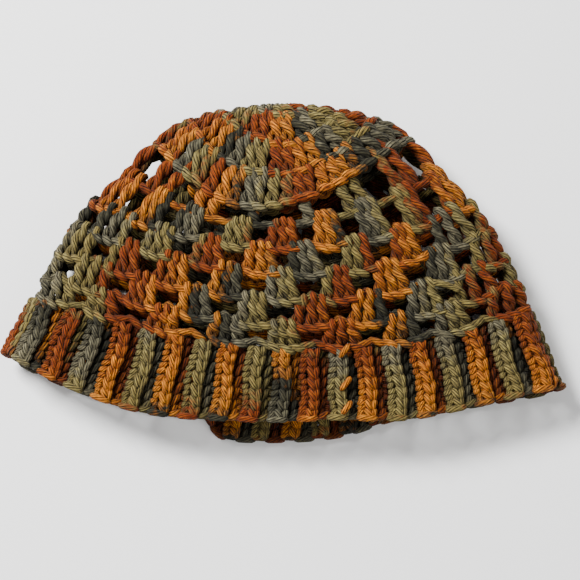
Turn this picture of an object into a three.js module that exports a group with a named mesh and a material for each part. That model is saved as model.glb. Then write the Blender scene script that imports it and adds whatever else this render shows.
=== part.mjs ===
// A crocheted granny square beanie, lying flat on its back as it was laid down.
// X runs across the hat, +Y from the rim to the crown, +Z up, in millimetres.
// The origin is the middle of the footprint, on the surface that the hat lies on.
//
// The hat is one closed fabric: a solid crown, six open rounds of clusters and a ribbed band.
// Lying flat, its front is the upper layer and its back the lower one, joined by a fold at each side.
// A place on the fabric has two coordinates: a turn from 0 to 1 round the hat, and a course.
// Turn 0 is the right fold, 0.25 the middle of the front, 0.5 the left fold, 0.75 the middle of the back.
// Course -1 is the middle of the crown, 0 its edge, 1 to 6 the foot of each round, 7 the rim.
import * as THREE from "three";
import { mergeVertices } from "three/addons/utils/BufferGeometryUtils.js";

// Driving sizes
const rimWidth = 298; // across the lying rim, fold to fold
const layLength = 174; // from the front rim to the top of the crown
const foldRise = 15; // half the height of the rounded fold at each side
const foldDepth = 17; // how far in from its side a fold turns
const frontDome = 12; // how much the front stands above its folds
const rimSkew = 8; // how much lower the right end of the rim lies than the middle
const sideSway = 5.4; // how far the left of a course sags below an even arc, and its right rises
const backDip = 14; // how far the middle of the back slips down past the front
const dipReach = 0.29; // half the width of that dip, as a share of half the course
const crownWall = 6.5;
const roundWall = 5.6;
const bandWall = 5;
const clusterBulge = 1.4; // how far a cluster swells out of its round
const crownRidge = 0.7; // how far each solid round of the crown swells
const ribHeight = 1.9; // half the height of a rib from furrow to crest
const scallop = 1.6; // how far a rib reaches below the furrow beside it
const pressed = 0.5; // how much the surface flattens what lies on it
const seatGap = 0.5; // clearance between two pieces that meet

const crownRounds = 4; // solid rounds in the crown
const ribs = 40;

// The open rounds from the crown down. foot and seat are half the width of a cluster at its wide lower end and
// where it seats, as shares of its pitch, swell is its share of clusterBulge, and shift turns the round by a
// share of its pitch. The first round is drawn in to narrow posts.
const rounds = [
  { clusters: 14, foot: 0.2, seat: 0.2, swell: 0, shift: 0.5 },
  { clusters: 18, foot: 0.4, seat: 0.25, swell: 1, shift: 0.0 },
  { clusters: 18, foot: 0.4, seat: 0.25, swell: 1, shift: 0.5 },
  { clusters: 18, foot: 0.4, seat: 0.25, swell: 1, shift: 0.0 },
  { clusters: 18, foot: 0.4, seat: 0.25, swell: 1, shift: 0.5 },
  { clusters: 18, foot: 0.4, seat: 0.25, swell: 1, shift: 0.0 },
];

// Where each course lies, from the edge of the crown to the rim. width is a share of rimWidth. folds, front and
// back are the places of the side folds and of the middle of each layer, as shares of layLength up from the
// front rim. rise, dome, skew, sway and dip are shares of foldRise, frontDome, rimSkew, sideSway and backDip.
const courses = [
  { width: 0.451, folds: 0.882, front: 0.646, back: 0.66, rise: 1.1, dome: 0.95, skew: -0.1, sway: 1, dip: 0 },
  { width: 0.583, folds: 0.774, front: 0.589, back: 0.59, rise: 1.08, dome: 0.9, skew: 0, sway: 0.3, dip: 0 },
  { width: 0.697, folds: 0.677, front: 0.514, back: 0.515, rise: 1.05, dome: 0.92, skew: 0.1, sway: 0, dip: 0 },
  { width: 0.763, folds: 0.6, front: 0.436, back: 0.445, rise: 1, dome: 0.9, skew: 0.2, sway: -0.2, dip: 0 },
  { width: 0.816, folds: 0.514, front: 0.357, back: 0.37, rise: 0.96, dome: 0.82, skew: 0.25, sway: -0.2, dip: 0.05 },
  { width: 0.86, folds: 0.436, front: 0.281, back: 0.3, rise: 0.92, dome: 0.7, skew: 0.3, sway: -0.2, dip: 0.2 },
  { width: 0.897, folds: 0.372, front: 0.22, back: 0.25, rise: 0.88, dome: 0.55, skew: 0.4, sway: -0.3, dip: 0.5 },
  { width: 1, folds: 0.193, front: 0, back: 0.04, rise: 0.8, dome: 0.3, skew: 1, sway: 0.8, dip: 1 },
];
const openRounds = rounds.length;
const rimCourse = courses.length - 1;

// The crown is a disc folded over its middle. These shape the fold, as shares of the sizes above.
const crownFold = { roundness: 0.25, drop: 0.14, reach: 0.45, swell: 0.9 };

// The lower layer's mid-surface is where the highest relief just reaches the floor, less what is pressed flat.
const lowestMid =
  Math.max(roundWall / 2 + clusterBulge, bandWall / 2 + ribHeight, crownWall / 2 + crownRidge) - pressed;

// Catmull-Rom interpolation of one column of the table at a course.
function column(name, course) {
  const at = Math.min(Math.max(course, 0), rimCourse);
  const i = Math.min(Math.floor(at), rimCourse - 1);
  const value = (k) => courses[Math.min(Math.max(k, 0), rimCourse)][name];
  const t = at - i;
  const [p0, p1, p2, p3] = [value(i - 1), value(i), value(i + 1), value(i + 2)];
  return (
    0.5 * (2 * p1 + (p2 - p0) * t + (2 * p0 - 5 * p1 + 4 * p2 - p3) * t * t + (3 * p1 - p0 - 3 * p2 + p3) * t ** 3)
  );
}

// The sizes of the loop that the fabric makes at a course, in millimetres.
function loopSizes(course) {
  return {
    half: (column("width", course) * rimWidth) / 2,
    folds: column("folds", course) * layLength,
    front: column("front", course) * layLength,
    back: column("back", course) * layLength,
    rise: column("rise", course) * foldRise,
    dome: column("dome", course) * frontDome,
    skew: column("skew", course) * rimSkew,
    sway: column("sway", course) * sideSway,
    dip: column("dip", course) * backDip,
  };
}

// An even sway has its largest value, 1, about halfway out on each side.
const swayShape = 2.6;

// A point of that loop: across runs from 1 at the right fold to -1 at the left one, on either layer.
// Each fold is a quarter ellipse, foldDepth deep and rise high, and the front has a soft dome besides.
function loopPoint(size, across, upper) {
  const depth = Math.min(foldDepth, size.half);
  const inFold = Math.max(Math.abs(across) * size.half - (size.half - depth), 0) / depth;
  const arch = Math.sqrt(Math.max(1 - inFold * inFold, 0));
  const middle = 1 - across * across;
  const bow = (upper ? size.front : size.back) - size.folds;
  const height = upper ? size.rise * arch + size.dome * middle * middle : -size.rise * arch;
  const slip = upper ? 0 : size.dip * Math.exp(-((across / dipReach) ** 4));
  return new THREE.Vector3(
    across * size.half,
    size.folds + bow * middle - size.skew * across + swayShape * size.sway * across * middle - slip,
    lowestMid + size.rise + height,
  );
}

// The loop at a course, walked at an even pace along each layer, kept once it is made.
const loopSteps = 240;
const walked = new Map();
function walkedLoop(course) {
  if (!walked.has(course)) {
    const size = loopSizes(course);
    const layers = [true, false].map((upper) => {
      const points = [];
      for (let i = 0; i <= loopSteps; i++) {
        const across = Math.cos((Math.PI * i) / loopSteps) * (upper ? 1 : -1);
        points.push(loopPoint(size, across, upper));
      }
      const length = [0];
      for (let i = 1; i <= loopSteps; i++) length.push(length[i - 1] + points[i].distanceTo(points[i - 1]));
      return { points, length };
    });
    walked.set(course, layers);
  }
  return walked.get(course);
}

// The point of the fabric's mid-surface at a turn and a course from 0 to the rim.
function sidePoint(turn, course) {
  const t = THREE.MathUtils.euclideanModulo(turn, 1);
  const { points, length } = walkedLoop(course)[t < 0.5 ? 0 : 1];
  const wanted = (t < 0.5 ? t : t - 0.5) * 2 * length[loopSteps];
  let [low, high] = [0, loopSteps];
  while (high - low > 1) {
    const middle = (low + high) >> 1;
    if (length[middle] <= wanted) low = middle;
    else high = middle;
  }
  const share = (wanted - length[low]) / (length[high] - length[low]);
  return points[low].clone().lerp(points[high], share);
}

// The folded disc before its edge is fitted to the first loop: p runs along the fold and q across it.
function foldedDisc(p, q) {
  const edge = loopSizes(0);
  const { roundness, drop, reach, swell } = crownFold;
  const away = Math.hypot(q, roundness);
  const arch = 1 - Math.sqrt(Math.max(1 - p * p, 0));
  return new THREE.Vector3(
    p * edge.half,
    layLength * (1 - drop * arch - reach * (away - roundness)),
    lowestMid + edge.rise + (swell * (2 * edge.rise + edge.dome) * 0.5 * q) / away,
  );
}

// The point of the crown at a turn and a radius from 0 in the middle to 1 at its edge.
function crownPoint(turn, radius) {
  const angle = 2 * Math.PI * turn;
  const [c, s] = [Math.cos(angle), Math.sin(angle)];
  const misfit = sidePoint(turn, 0).sub(foldedDisc(c, s));
  return foldedDisc(radius * c, radius * s).addScaledVector(misfit, radius ** 3);
}

// The mid-surface anywhere, and its normal, which points out of the hat.
function fabricPoint(turn, course) {
  return course < 0 ? crownPoint(turn, 1 + course) : sidePoint(turn, course);
}
const probe = 0.004;
function fabricNormal(turn, course) {
  if (course <= -1) return new THREE.Vector3(0, 1, 0);
  const [above, below] = [Math.max(course - probe, -1), Math.min(course + probe, rimCourse)];
  const around = fabricPoint(turn + probe, course).sub(fabricPoint(turn - probe, course));
  const down = fabricPoint(turn, below).sub(fabricPoint(turn, above));
  return around.cross(down).normalize();
}

// A wall over a grid of cells. place(column, row) gives a vertex its turn, course, outer and inner offset
// from the mid-surface, and the seat whose normal it takes, where it has one, so that the two pieces that
// meet there face each other squarely. filled(column, row) says which cells are fabric and which are open.
// Outer faces, inner faces and the edge of every opening make one closed skin.
function wallGeometry(columnCount, rowCount, place, filled) {
  const positions = [];
  const indices = [];
  const vertex = (c, r, side) => ((r * columnCount + (c % columnCount)) * 2 + side) | 0;
  for (let r = 0; r <= rowCount; r++) {
    for (let c = 0; c < columnCount; c++) {
      const at = place(c, r);
      const middle = fabricPoint(at.turn, at.course);
      const normal = fabricNormal(at.turn, at.seat ?? at.course);
      for (const offset of [at.outer, at.inner]) {
        const point = middle.clone().addScaledVector(normal, offset);
        positions.push(point.x, point.y, Math.max(point.z, 0));
      }
    }
  }
  const quad = (a, b, c, d) => indices.push(a, b, c, a, c, d);
  const isFilled = (c, r) => r >= 0 && r < rowCount && filled((c + columnCount) % columnCount, r);
  for (let r = 0; r < rowCount; r++) {
    for (let c = 0; c < columnCount; c++) {
      if (!isFilled(c, r)) continue;
      const [a, b, d, e] = [[c, r], [c + 1, r], [c + 1, r + 1], [c, r + 1]];
      quad(vertex(...a, 0), vertex(...e, 0), vertex(...d, 0), vertex(...b, 0));
      quad(vertex(...a, 1), vertex(...b, 1), vertex(...d, 1), vertex(...e, 1));
      if (!isFilled(c, r - 1)) quad(vertex(...a, 0), vertex(...b, 0), vertex(...b, 1), vertex(...a, 1));
      if (!isFilled(c, r + 1)) quad(vertex(...d, 0), vertex(...e, 0), vertex(...e, 1), vertex(...d, 1));
      if (!isFilled(c - 1, r)) quad(vertex(...e, 0), vertex(...a, 0), vertex(...a, 1), vertex(...e, 1));
      if (!isFilled(c + 1, r)) quad(vertex(...b, 0), vertex(...d, 0), vertex(...d, 1), vertex(...b, 1));
    }
  }
  return closedGeometry(positions, indices);
}

// Merges vertices that coincide, drops triangles that have collapsed, and turns the faces out.
function closedGeometry(positions, indices) {
  const loose = new THREE.BufferGeometry();
  loose.setAttribute("position", new THREE.Float32BufferAttribute(positions, 3));
  loose.setIndex(indices);
  const merged = mergeVertices(loose, 1e-3);
  const old = merged.index.array;
  const kept = [];
  for (let i = 0; i < old.length; i += 3) {
    const [a, b, c] = [old[i], old[i + 1], old[i + 2]];
    if (a !== b && b !== c && a !== c) kept.push(a, b, c);
  }
  merged.setIndex(signedVolume(merged, kept) < 0 ? kept.reverse() : kept);
  merged.computeVertexNormals();
  return merged;
}

function signedVolume(geometry, indices) {
  const corner = (i) => new THREE.Vector3().fromBufferAttribute(geometry.attributes.position, indices[i]);
  let six = 0;
  for (let i = 0; i < indices.length; i += 3) six += corner(i).dot(corner(i + 1).cross(corner(i + 2)));
  return six / 6;
}

// The course that lies a length in millimetres below another at a turn, or above it for a negative length.
const paceStep = 0.02;
function courseBelow(turn, course, length) {
  const step = Math.sign(length) * paceStep;
  const pace = fabricPoint(turn, course).distanceTo(fabricPoint(turn, course + step)) / paceStep;
  return course + length / pace;
}

// Crown: solid rounds of double crochet, each a low ridge, folded over into a lens.
const crownColumns = 72;
function crownGeometry() {
  const rows = 2 * crownRounds;
  const place = (c, r) => {
    const turn = c / crownColumns;
    return {
      turn,
      course: r === rows ? courseBelow(turn, 0, -seatGap / 2) : -1 + r / rows,
      seat: r === rows ? 0 : undefined,
      outer: crownWall / 2 + (r % 2 ? crownRidge : 0),
      inner: -crownWall / 2,
    };
  };
  return wallGeometry(crownColumns, rows, place, () => true);
}

// An open round: a chain edge all round its foot, and clusters that stand on it and narrow towards the crown.
// The openings between clusters are cut through. Clusters of one round sit over the openings of the next.
const chainEdge = 0.26; // height of the chain edge, as a share of its course
const clusterMiddle = 0.62; // how far above the foot of its course a cluster swells most
function roundGeometry(number) {
  const { clusters, foot, seat, swell, shift } = rounds[number - 1];
  const spreads = [seat, (seat + foot) / 2, foot, seat];
  const bulges = [0.2 * swell, swell, 0.8 * swell, 0];
  const place = (c, r) => {
    const part = c % 4; // 0 the middle of an opening, then a cluster's left, middle and right
    const offset = [-0.5, -spreads[r], 0, spreads[r]][part];
    const bulge = part === 2 ? bulges[r] : 0.35 * bulges[r];
    const turn = (Math.floor(c / 4) + 0.5 + shift + offset) / clusters;
    const levels = [
      courseBelow(turn, number - 1, seatGap / 2),
      number - clusterMiddle,
      number - chainEdge,
      courseBelow(turn, number, -seatGap / 2),
    ];
    return {
      turn,
      course: levels[r],
      seat: [number - 1, undefined, undefined, number][r],
      outer: roundWall / 2 + (part === 0 ? 0 : clusterBulge * bulge),
      inner: -roundWall / 2,
    };
  };
  const isCluster = (c) => c % 4 === 1 || c % 4 === 2;
  return wallGeometry(4 * clusters, 3, place, (c, r) => r === 2 || isCluster(c));
}

// Band: rows worked up and down, so that the wall folds into ribs, with a scalloped rim.
const ribPlaces = [-0.19, 0.19, 0.31, 0.69]; // both edges of a rib's crest and of the furrow beside it
const ribColumns = ribPlaces.length;
function bandGeometry() {
  const rows = 2;
  const place = (c, r) => {
    const crest = c % ribColumns < 2 ? 1 : -1;
    const turn = (Math.floor(c / ribColumns) + ribPlaces[c % ribColumns]) / ribs;
    const top = courseBelow(turn, openRounds, seatGap / 2);
    const foot = crest > 0 ? rimCourse : courseBelow(turn, rimCourse, -scallop);
    return {
      turn,
      course: top + (r / rows) * (foot - top),
      seat: r === 0 ? openRounds : undefined,
      outer: bandWall / 2 + crest * ribHeight,
      inner: -bandWall / 2 + crest * ribHeight,
    };
  };
  return wallGeometry(ribs * ribColumns, rows, place, () => true);
}

// Colours of the yarn: moss grey, olive, rust and amber, mixed in each piece.
const yarnFinish = { roughness: 0.92, metalness: 0 };
const crownYarn = new THREE.MeshStandardMaterial({ color: 0x7d6a45, ...yarnFinish });
const roundYarn = new THREE.MeshStandardMaterial({ color: 0x8a5a34, ...yarnFinish });
const bandYarn = new THREE.MeshStandardMaterial({ color: 0x74502f, ...yarnFinish });

const beanie = new THREE.Group();
function addPiece(name, geometry, material) {
  const piece = new THREE.Mesh(geometry, material);
  piece.name = name;
  beanie.add(piece);
}

addPiece("crown", crownGeometry(), crownYarn);
for (let number = 1; number <= openRounds; number++) {
  addPiece(`open_round_${number}`, roundGeometry(number), roundYarn);
}
addPiece("rib_band", bandGeometry(), bandYarn);

// The origin goes to the middle of the footprint.
const footprint = new THREE.Box3().setFromObject(beanie);
const middle = footprint.getCenter(new THREE.Vector3());
beanie.children.forEach((piece) => piece.position.set(-middle.x, -middle.y, -footprint.min.z));

export default beanie;
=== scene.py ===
# %% [markdown]
# # A crocheted granny square beanie, laid flat
#
# The real hat is one long strand of thick, variegated yarn worked in rounds. A solid crown comes first, then
# a drawn-in round of posts, five rounds of three-stitch granny clusters, and a ribbed band worked sideways.
# The CAD model holds that fabric as plain walls. This script replaces each wall with the stitches themselves:
# every visible strand of yarn is a closed tube along a path, and the paths are formulas of the stitch.

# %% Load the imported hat
import math
import bpy
import numpy as np
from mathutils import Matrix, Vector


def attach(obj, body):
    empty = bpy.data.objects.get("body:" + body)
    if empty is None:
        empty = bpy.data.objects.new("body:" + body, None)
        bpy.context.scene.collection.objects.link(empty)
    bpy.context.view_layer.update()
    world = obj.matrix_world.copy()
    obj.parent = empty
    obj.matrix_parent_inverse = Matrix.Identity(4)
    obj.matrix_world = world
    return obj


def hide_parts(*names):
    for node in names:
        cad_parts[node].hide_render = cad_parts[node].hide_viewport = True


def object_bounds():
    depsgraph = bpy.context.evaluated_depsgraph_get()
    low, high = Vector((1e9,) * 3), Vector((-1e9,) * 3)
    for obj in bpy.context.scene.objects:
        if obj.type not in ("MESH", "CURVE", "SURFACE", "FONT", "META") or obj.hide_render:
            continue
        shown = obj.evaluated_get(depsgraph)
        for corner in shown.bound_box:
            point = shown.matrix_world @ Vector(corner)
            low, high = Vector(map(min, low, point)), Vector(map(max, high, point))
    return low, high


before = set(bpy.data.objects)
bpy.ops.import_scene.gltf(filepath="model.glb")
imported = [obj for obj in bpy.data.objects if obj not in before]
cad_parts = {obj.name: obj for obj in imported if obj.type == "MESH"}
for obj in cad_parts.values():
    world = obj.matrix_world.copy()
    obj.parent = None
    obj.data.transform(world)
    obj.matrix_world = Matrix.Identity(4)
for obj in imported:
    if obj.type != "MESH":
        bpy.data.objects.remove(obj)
cad_low, cad_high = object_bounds()
print("CAD nodes:", sorted(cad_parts))
print("CAD box in mm:", [round(1000 * v, 1) for v in (*cad_low, *cad_high)])

# %% [markdown]
# ## Camera, floor and light
#
# The hat lies on a pale surface and is seen from almost straight above. The camera could be placed by eye,
# but its lens is worked out from the width of the hat, so that the hat keeps its share of the picture. From
# nearly a metre away, a long lens shows the far and near stitches alike in size. The light is soft: an area
# lamp above, to the left and behind, a wider and weaker one on the right in front, and a white world that
# fills the shade.

# %% Camera
CAMERA_RISE = math.radians(78)
CAMERA_AWAY = 0.95
SENSOR = 36.0
FRAME_SHARE = 0.958  # share of the picture's width that the hat takes
AIM = np.array([0.0041, -0.0121, 0.02])


def add_object(name, data):
    """An object in the scene that holds some data."""
    made = bpy.data.objects.new(name, data)
    bpy.context.scene.collection.objects.link(made)
    return made


def add_camera():
    """A camera that looks along +Y and down, CAMERA_AWAY from the point AIM. Its lens is the sensor's width
    times the distance over the width to be seen."""
    data = bpy.data.cameras.new("camera")
    camera = add_object("camera", data)
    back = np.array([0.0, -math.cos(CAMERA_RISE), math.sin(CAMERA_RISE)])
    camera.location = AIM + CAMERA_AWAY * back
    camera.rotation_euler = (math.pi / 2 - CAMERA_RISE, 0.0, 0.0)
    width = (cad_high - cad_low).x
    data.sensor_width = SENSOR
    data.lens = SENSOR * CAMERA_AWAY * FRAME_SHARE / width
    bpy.context.scene.camera = camera
    return camera


camera = add_camera()
print("Lens in mm:", round(camera.data.lens, 1))

# %% Floor, lamps and world
FLOOR_SIZE = 4.0
FLOOR_PAINT = {"Base Color": (0.95, 0.95, 0.945, 1), "Roughness": 0.95}
LAMPS = [
    {"name": "key_lamp", "place": (-0.8, 0.6, 1.2), "size": 0.5, "power": 67},
    {"name": "fill_lamp", "place": (0.9, -0.7, 1.1), "size": 1.0, "power": 8},
]
WORLD_LIGHT = {"Color": (1, 1, 1, 1), "Strength": 0.46}


def set_inputs(node, values):
    """Fixed values on a node's own sockets, by their names."""
    for name, value in values.items():
        node.inputs[name].default_value = value


def add_floor():
    """A flat square under the hat, in a pale matt paint."""
    half = FLOOR_SIZE / 2
    corners = [(-half, -half, 0), (half, -half, 0), (half, half, 0), (-half, half, 0)]
    mesh = bpy.data.meshes.new("floor")
    mesh.from_pydata(corners, [], [(0, 1, 2, 3)])
    floor = add_object("floor", mesh)
    paint = bpy.data.materials.new("pale_floor")
    paint.use_nodes = True
    set_inputs(paint.node_tree.nodes["Principled BSDF"], FLOOR_PAINT)
    mesh.materials.append(paint)


def add_lamp(name, place, size, power):
    """A square area lamp at a place, turned to the middle of the hat."""
    data = bpy.data.lights.new(name, "AREA")
    data.size = size
    data.energy = power
    lamp = add_object(name, data)
    lamp.location = place
    away = np.array(place) / np.linalg.norm(place)
    lamp.rotation_euler = (math.acos(away[2]), 0, math.atan2(away[1], away[0]) + math.pi / 2)


def add_world():
    """A plain white world."""
    world = bpy.data.worlds.new("studio")
    bpy.context.scene.world = world
    world.use_nodes = True
    set_inputs(world.node_tree.nodes["Background"], WORLD_LIGHT)


add_floor()
for lamp in LAMPS:
    add_lamp(**lamp)
add_world()
print("Lamps:", [lamp["name"] for lamp in LAMPS])

# %% [markdown]
# ## The shape of the lying fabric
#
# Every stitch sits somewhere on one closed sheet, so the sheet comes first. A place on it has two numbers.
# The turn runs from 0 to 1 round the hat, from the right fold over the front to the left fold and back
# underneath. The course runs from -1 in the middle of the crown, over 0 at its edge, to 7 at the rim.
# Each course is a flattened loop whose sizes stand in one short table, the same as in the CAD model. A
# simulated drape would also give such a shape, but a table keeps the stitches where the CAD walls are.
# Only the rim departs from those by a few millimetres: the flap of the back ends more abruptly on its left
# and runs on a little to the right, and the yarn hangs a little lower towards both ends.

# %% Sizes of the lying hat
MM = 0.001
RIM_WIDTH = 298 * MM
LAY_LENGTH = 174 * MM
FOLD_RISE = 15 * MM
FOLD_DEPTH = 17 * MM
FRONT_DOME = 12 * MM
RIM_SKEW = 8 * MM
SIDE_SWAY = 5.4 * MM
SWAY_SHAPE = 2.6  # makes the largest value of the sway's curve 1
BACK_DIP = 14 * MM  # how far the flap of the back rim stands out under the front
DIP_LEFT = {"reach": 0.27, "steep": 12}  # where the flap ends, as a share of half the width, and how abruptly
DIP_RIGHT = {"reach": 0.344, "steep": 4}
RIM_DROPS = [  # how much lower the rim hangs than the CAD wall, and where that starts and is full
    {"side": 1, "start": 0.12, "full": 0.5, "drop": 6.3 * MM},
    {"side": -1, "start": 0.15, "full": 0.6, "drop": 3.8 * MM},
]
LOWEST_MID = 3.9 * MM  # the height of the lower layer's middle
CROWN_WALL = 6.5 * MM
COLUMNS = ("width", "folds", "front", "back", "rise", "dome", "skew", "sway", "dip")
COURSES = np.array([
    (0.451, 0.882, 0.646, 0.66, 1.1, 0.95, -0.1, 1, 0),  # edge of the crown
    (0.583, 0.774, 0.589, 0.59, 1.08, 0.9, 0, 0.3, 0),
    (0.697, 0.677, 0.514, 0.515, 1.05, 0.92, 0.1, 0, 0),
    (0.763, 0.6, 0.436, 0.445, 1, 0.9, 0.2, -0.2, 0),
    (0.816, 0.514, 0.357, 0.37, 0.96, 0.82, 0.25, -0.2, 0.05),
    (0.86, 0.436, 0.281, 0.3, 0.92, 0.7, 0.3, -0.2, 0.2),
    (0.897, 0.372, 0.22, 0.25, 0.88, 0.55, 0.4, -0.3, 0.5),  # upper edge of the band
    (1, 0.193, 0, 0.04, 0.8, 0.3, 1, 0.8, 1),  # rim
])
RIM = len(COURSES) - 1
CROWN_FOLD = {"roundness": 0.25, "drop": 0.14, "reach": 0.45, "swell": 0.9}


def column(name, course):
    """A column of the table at any course, by Catmull-Rom curves through its rows: between two rows it is a
    cubic whose slope at each row is half the step from the row before to the row after."""
    values = COURSES[:, COLUMNS.index(name)]
    at = np.clip(course, 0, RIM)
    i = np.minimum(np.floor(at), RIM - 1).astype(int)
    t = at - i
    p0, p1, p2, p3 = (values[np.clip(i + k, 0, RIM)] for k in (-1, 0, 1, 2))
    square = 2 * p0 - 5 * p1 + 4 * p2 - p3
    cube = 3 * p1 - p0 - 3 * p2 + p3
    return 0.5 * (2 * p1 + (p2 - p0) * t + square * t**2 + cube * t**3)


def rim_drop(course, across):
    """How much lower the last course hangs towards its ends, by a smooth step from start to full."""
    drop = 0.0
    for end in RIM_DROPS:
        t = np.clip((end["side"] * across - end["start"]) / (end["full"] - end["start"]), 0, 1)
        drop = drop + end["drop"] * np.clip(course - RIM + 1, 0, 1) * t * t * (3 - 2 * t)
    return drop


def loop_point(course, across, upper):
    """Points of a loop, with across from -1 at the left fold to 1 at the right one. Its folds are quarter
    ellipses, and both layers bow down between the folds by the square of across."""
    half = column("width", course) * RIM_WIDTH / 2
    folds = column("folds", course) * LAY_LENGTH
    rise = column("rise", course) * FOLD_RISE
    layer = column("front" if upper else "back", course) * LAY_LENGTH
    depth = np.minimum(FOLD_DEPTH, half)
    in_fold = np.maximum(np.abs(across) * half - (half - depth), 0) / depth
    arch = np.sqrt(np.maximum(1 - in_fold**2, 0))
    middle = 1 - across**2
    y = folds + (layer - folds) * middle - column("skew", course) * RIM_SKEW * across
    y = y + SWAY_SHAPE * column("sway", course) * SIDE_SWAY * across * middle
    if upper:
        z = LOWEST_MID + rise + rise * arch + column("dome", course) * FRONT_DOME * middle**2
    else:
        z = LOWEST_MID + rise - rise * arch
        reach, steep = (np.where(across < 0, DIP_LEFT[key], DIP_RIGHT[key]) for key in ("reach", "steep"))
        y = y - column("dip", course) * BACK_DIP * np.exp(-((np.abs(across) / reach) ** steep))
    y = y - rim_drop(course, across)
    return np.stack(np.broadcast_arrays(across * half, y, z), axis=-1)


# %% A fine grid of the whole sheet
TURNS = 720
ROWS_PER_COURSE = 24
LOOP_STEPS = 240


def even_loop(course):
    """One loop at TURNS evenly paced points: each layer is sampled, measured and walked at an even pace."""
    across = np.cos(np.pi * np.arange(LOOP_STEPS + 1) / LOOP_STEPS)
    layers = []
    for upper in (True, False):
        points = loop_point(course, across if upper else -across, upper)
        length = np.concatenate([[0], np.cumsum(np.linalg.norm(np.diff(points, axis=0), axis=1))])
        even = np.linspace(0, length[-1], TURNS // 2, endpoint=False)
        layers.append(np.stack([np.interp(even, length, points[:, k]) for k in range(3)], axis=-1))
    return np.concatenate(layers)


def folded_disc(p, q):
    """The crown as a disc folded over its middle: p runs along the fold and q across it. y falls with the
    root of q squared plus the roundness squared, so the fold is round at its top and straight below."""
    edge_half = column("width", 0) * RIM_WIDTH / 2
    edge_rise = column("rise", 0) * FOLD_RISE
    swell = CROWN_FOLD["swell"] * (edge_rise + column("dome", 0) * FRONT_DOME / 2)
    away = np.hypot(q, CROWN_FOLD["roundness"])
    arch = 1 - np.sqrt(np.maximum(1 - p**2, 0))
    y = 1 - CROWN_FOLD["drop"] * arch - CROWN_FOLD["reach"] * (away - CROWN_FOLD["roundness"])
    return np.stack([p * edge_half, y * LAY_LENGTH, LOWEST_MID + edge_rise + swell * q / away], axis=-1)


def sheet_grid():
    """The sheet at all turns and courses. The disc's misfit to the first loop fades out towards its middle,
    with the cube of the radius."""
    side = np.stack([even_loop(row / ROWS_PER_COURSE) for row in range(RIM * ROWS_PER_COURSE + 1)])
    radius = (np.arange(ROWS_PER_COURSE) / ROWS_PER_COURSE)[:, None]
    angle = 2 * np.pi * np.arange(TURNS)[None] / TURNS
    crown = folded_disc(radius * np.cos(angle), radius * np.sin(angle))
    misfit = side[:1] - folded_disc(np.cos(angle), np.sin(angle))
    return np.concatenate([crown + misfit * radius[..., None] ** 3, side])


grid = sheet_grid()
around = (np.roll(grid, -1, axis=1) - np.roll(grid, 1, axis=1)) * TURNS / 2
down = np.gradient(grid, axis=0) * ROWS_PER_COURSE
grid_normal = np.cross(around, down)
grid_normal[0] = (0, 1, 0)
grid_normal /= np.linalg.norm(grid_normal, axis=-1, keepdims=True)
if grid_normal[-1, TURNS // 4, 2] < 0:
    grid_normal[1:] *= -1
around_pace = np.linalg.norm(around, axis=-1)
down_pace = np.linalg.norm(down, axis=-1)
print("Sheet grid:", grid.shape, "rim round in mm:", round(1000 * around_pace[-1].mean()))

# %% Set the sheet in the CAD frame
ROW_MARGIN = 0.001  # keeps a look-up inside the last row


def sheet_ends():
    """The front and back ends in Y, taken as on the CAD walls: the rim, and the outer face of the crown."""
    crown = grid[:ROWS_PER_COURSE] + grid_normal[:ROWS_PER_COURSE] * CROWN_WALL / 2
    y = np.concatenate([crown[..., 1].ravel(), grid[-1, :, 1]])
    return y.min(), y.max()


def look_up(table, turn, course):
    """A table over the grid at any turn and course, by bilinear interpolation."""
    row = np.clip((np.asarray(course) + 1) * ROWS_PER_COURSE, 0, len(table) - 1 - ROW_MARGIN)
    col = np.mod(turn, 1) * TURNS
    r, c = np.floor(row).astype(int), np.floor(col).astype(int)
    fr, fc = row - r, col - c
    if table.ndim == 3:
        fr, fc = fr[..., None], fc[..., None]
    c1 = (c + 1) % TURNS
    c = c % TURNS
    upper = table[r, c] * (1 - fc) + table[r, c1] * fc
    lower = table[r + 1, c] * (1 - fc) + table[r + 1, c1] * fc
    return upper * (1 - fr) + lower * fr


sheet_front, sheet_back = sheet_ends()
grid[..., 1] += (cad_low.y + cad_high.y) / 2 - (sheet_front + sheet_back) / 2
sheet_y = 1000 * grid[..., 1]
print("Sheet from and to in Y, in mm:", round(sheet_y.min(), 1), round(sheet_y.max(), 1))

# %% [markdown]
# ## Yarn as geometry
#
# A strand of yarn is a tube whose round section is carried along its path. Curve objects with a bevel would
# do the same, but thousands of them are slow, so the rings of all strands of a kind are worked out at once
# as one array. The section turns as little as possible from ring to ring, and the ends close in a point, so
# that each strand is a closed skin. The yarn material needs three things from the mesh. The UV map holds the
# place round the strand and the length along it, the attribute "dye" holds where on the variegated yarn the
# strand was cut, and the attribute "height" holds how far a point lies off the fabric's middle, in mm.

# %% Strands into one mesh
YARN = 1.95 * MM  # radius of the yarn
SIDES = 8
END_RADIUS = 0.62  # of a strand's last ring, as a share
END_POINT = 0.7  # how far the pole stands past that ring, as a share of its radius
FIRST_SIDE = (0.31, 0.17, 0.93)  # any direction that no strand starts along
PRESS = 1.2 * MM
SEED = 11
rng = np.random.default_rng(SEED)


def jitter(count, size):
    """Small random shifts, alike on every run."""
    return rng.normal(0, size, count)


def unit(v):
    """Vectors made one long."""
    return v / np.maximum(np.linalg.norm(v, axis=-1, keepdims=True), 1e-12)


def between(start, end, share):
    """A share of the way from one value to another."""
    return start + (end - start) * share


def press(z):
    """Heights softly kept above the floor: below PRESS they shrink by an exponential towards nothing, as
    yarn does that lies on it."""
    return np.where(z < PRESS, PRESS * np.exp(np.minimum(z, PRESS) / PRESS - 1), z)


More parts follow.
